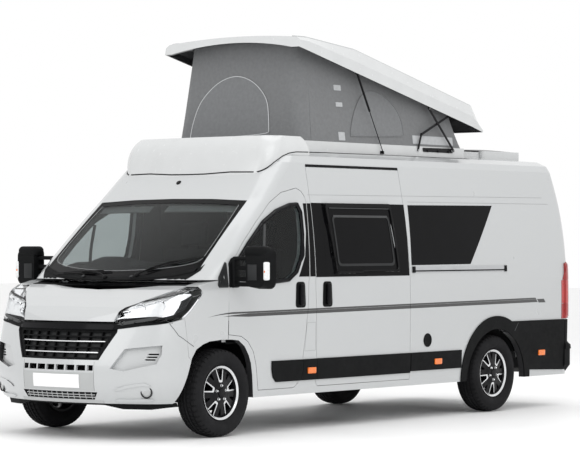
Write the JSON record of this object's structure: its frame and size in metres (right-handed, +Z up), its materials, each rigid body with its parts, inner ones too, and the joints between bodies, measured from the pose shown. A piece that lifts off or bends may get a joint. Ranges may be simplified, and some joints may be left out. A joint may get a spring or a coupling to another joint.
{
  "type": "camper van",
  "caption": "Large panel van camper with a raised pop-top roof, opening doors, steered front wheels and a clear-lensed nose.",
  "frame": {"origin": "on the ground, at the middle of the bounding box's bottom face", "axes": "+X forward, +Y to the vehicle's left, +Z up"},
  "size_m": [6.364, 2.885, 3.4642],
  "materials": {
    "white_paint": "gloss pale silver-white paint",
    "black_plastic": "matt black plastic",
    "lid_shell": "gloss white moulding",
    "glass": "clear tinted glass",
    "dark_glass": "black acrylic",
    "lamp": "clear lamp lens",
    "tail_lamp": "red lamp lens",
    "canvas": "grey canvas",
    "tyre": "black rubber",
    "alloy": "black and diamond-cut alloy",
    "steel": "black-painted steel",
    "iron": "cast iron",
    "trim": "dark grey cab trim",
    "seat": "dark seat cloth"
  },
  "bodies": {
    "body": {"body_side_left": "white_paint", "body_side_right": "white_paint", "bulkhead": "white_paint", "cab_seats": "seat", "canvas": "canvas", "cowl": "black_plastic", "dashboard": "trim", "engine_block": "iron", "floor_pan": "white_paint", "front_bumper": "white_paint", "front_subframe": "iron", "front_wings": "white_paint", "fuel_tank": "steel", "grille": "black_plastic", "headlamps": "lamp", "rear_axle": "steel", "rear_bumper": "black_plastic", "roof_cap": "lid_shell", "roof_light": "lid_shell", "roof_panel": "white_paint", "roof_plinth": "lid_shell", "side_cladding": "black_plastic", "side_windows": "dark_glass", "sliding_door": "white_paint", "steering_wheel": "trim", "tail_lamps": "tail_lamp", "wheel_housings": "white_paint", "windscreen": "glass"},
    "bonnet": {"bonnet": "white_paint"},
    "front_door_left": {"front_door_left": "white_paint", "front_window_left": "glass", "front_door_fittings_left": "black_plastic"},
    "rear_door_left": {"rear_door_left": "white_paint"},
    "knuckle_left": {"knuckle_left": "iron"},
    "front_door_right": {"front_door_right": "white_paint", "front_window_right": "glass", "front_door_fittings_right": "black_plastic"},
    "rear_door_right": {"rear_door_right": "white_paint"},
    "knuckle_right": {"knuckle_right": "iron"},
    "wheel_front_left": {"tyre_front_left": "tyre", "rim_front_left": "alloy"},
    "wheel_front_right": {"tyre_front_right": "tyre", "rim_front_right": "alloy"},
    "wheel_rear_left": {"tyre_rear_left": "tyre", "rim_rear_left": "alloy"},
    "wheel_rear_right": {"tyre_rear_right": "tyre", "rim_rear_right": "alloy"},
    "lid": {"pop_top_lid": "lid_shell"},
    "long_links": {"long_links": "steel"},
    "cross_links": {"cross_links": "steel"},
    "crank_links": {"crank_links": "steel"},
    "strut_tubes": {"strut_tubes": "steel"},
    "strut_rods": {"strut_rods": "steel"}
  },
  "joints": [
    {"name": "bonnet_hinge", "type": "hinge", "parent": "body", "child": "bonnet", "pos_m": [2.338, 0, 1.306], "axis": [0, -1, 0], "range_deg": [0, 60]},
    {"name": "front_door_left_hinge", "type": "hinge", "parent": "body", "child": "front_door_left", "pos_m": [2.16, 1.026, 0.9], "axis": [0, 0, -1], "range_deg": [0, 70]},
    {"name": "rear_door_left_hinge", "type": "hinge", "parent": "body", "child": "rear_door_left", "pos_m": [-3.15, 0.925, 1.2], "axis": [0, 0, -1], "range_deg": [0, 180]},
    {"name": "steer_left", "type": "hinge", "parent": "body", "child": "knuckle_left", "pos_m": [2.2335, 0.885, 0.366], "axis": [0, 0, 1], "range_deg": [-35, 35]},
    {"name": "wheel_front_left_spin", "type": "hinge", "parent": "knuckle_left", "child": "wheel_front_left", "pos_m": [2.2335, 0.905, 0.366], "axis": [0, 1, 0], "continuous": true},
    {"name": "wheel_rear_left_spin", "type": "hinge", "parent": "body", "child": "wheel_rear_left", "pos_m": [-1.8015, 0.895, 0.366], "axis": [0, 1, 0], "continuous": true},
    {"name": "front_door_right_hinge", "type": "hinge", "parent": "body", "child": "front_door_right", "pos_m": [2.16, -1.026, 0.9], "axis": [0, 0, 1], "range_deg": [0, 70]},
    {"name": "rear_door_right_hinge", "type": "hinge", "parent": "body", "child": "rear_door_right", "pos_m": [-3.15, -0.925, 1.2], "axis": [0, 0, 1], "range_deg": [0, 180]},
    {"name": "steer_right", "type": "hinge", "parent": "body", "child": "knuckle_right", "pos_m": [2.2335, -0.885, 0.366], "axis": [0, 0, 1], "range_deg": [-35, 35]},
    {"name": "wheel_front_right_spin", "type": "hinge", "parent": "knuckle_right", "child": "wheel_front_right", "pos_m": [2.2335, -0.905, 0.366], "axis": [0, 1, 0], "continuous": true},
    {"name": "wheel_rear_right_spin", "type": "hinge", "parent": "body", "child": "wheel_rear_right", "pos_m": [-1.8015, -0.895, 0.366], "axis": [0, 1, 0], "continuous": true},
    {"name": "lid_lift", "type": "hinge", "parent": "body", "child": "lid", "pos_m": [-2.8041, 0, 1.9689], "axis": [0, 1, 0], "range_deg": [0, 12.8], "deforming": ["canvas"]},
    {"name": "long_link_pivot", "type": "hinge", "parent": "body", "child": "long_links", "pos_m": [-1.4629, 0, 2.4828], "axis": [0, 1, 0], "range_deg": [0, 45.67]},
    {"name": "crank_pivot", "type": "hinge", "parent": "body", "child": "crank_links", "pos_m": [-0.905, 0, 2.476], "axis": [0, 1, 0], "range_deg": [0, 84.89]},
    {"name": "cross_link_pivot", "type": "hinge", "parent": "lid", "child": "cross_links", "pos_m": [-1.434, 0, 2.832], "axis": [0, 1, 0], "range_deg": [-39.85, 0]},
    {"name": "strut_pivot", "type": "hinge", "parent": "lid", "child": "strut_tubes", "pos_m": [0.0499, 0, 3.144], "axis": [0, 1, 0], "range_deg": [0, 43.91]},
    {"name": "strut_slide", "type": "slide", "parent": "strut_tubes", "child": "strut_rods", "axis": [0.4886, 0, 0.8725], "range_m": [0, 0.22101]}
  ],
  "couplings": [
    {"joint": "steer_right", "follows": "steer_left", "ratio": 1},
    {"joint": "long_link_pivot", "follows": "lid_lift", "ratio": 3.5676},
    {"joint": "crank_pivot", "follows": "lid_lift", "ratio": 6.632},
    {"joint": "cross_link_pivot", "follows": "lid_lift", "ratio": -3.1134},
    {"joint": "strut_pivot", "follows": "lid_lift", "ratio": 3.4304},
    {"joint": "strut_slide", "follows": "lid_lift", "m_per_rad": 0.98926}
  ]
}
